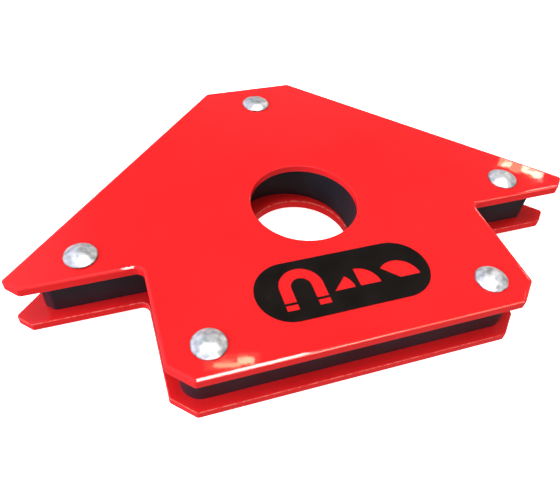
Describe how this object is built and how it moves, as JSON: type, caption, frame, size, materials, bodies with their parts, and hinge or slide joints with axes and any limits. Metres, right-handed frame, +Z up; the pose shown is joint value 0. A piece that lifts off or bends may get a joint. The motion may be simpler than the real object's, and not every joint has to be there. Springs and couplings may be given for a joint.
{
  "type": "welding magnet holder",
  "caption": "Flat arrow-shaped magnetic holder: red steel plates riveted over a black magnet core, with a central hole; clamps steel at set angles while it is welded.",
  "frame": {"origin": "under the middle of the part, level with the lowest rivet heads that it rests on", "axes": "+X across the wings to the right, +Y from the base edge to the apex, +Z up through the plates"},
  "size_m": [0.1542, 0.101, 0.02],
  "materials": {
    "red_enamel": "gloss",
    "black_core": "satin",
    "ferrite": "matt",
    "rivet_metal": "satin",
    "label_ink": "satin"
  },
  "bodies": {
    "root": {"top_plate": "red_enamel", "bottom_plate": "red_enamel", "core": "black_core", "magnet_base_left": "ferrite", "magnet_base_middle": "ferrite", "magnet_base_right": "ferrite", "magnet_tail_left": "ferrite", "magnet_tail_right": "ferrite", "magnet_wing_inner_left": "ferrite", "magnet_wing_inner_right": "ferrite", "magnet_wing_outer_left": "ferrite", "magnet_wing_outer_right": "ferrite", "magnet_flank_left": "ferrite", "magnet_flank_right": "ferrite", "magnet_apex": "ferrite", "rivet_apex": "rivet_metal", "rivet_wing_left": "rivet_metal", "rivet_wing_right": "rivet_metal", "rivet_tail_left": "rivet_metal", "rivet_tail_right": "rivet_metal", "label": "label_ink"}
  },
  "joints": []
}
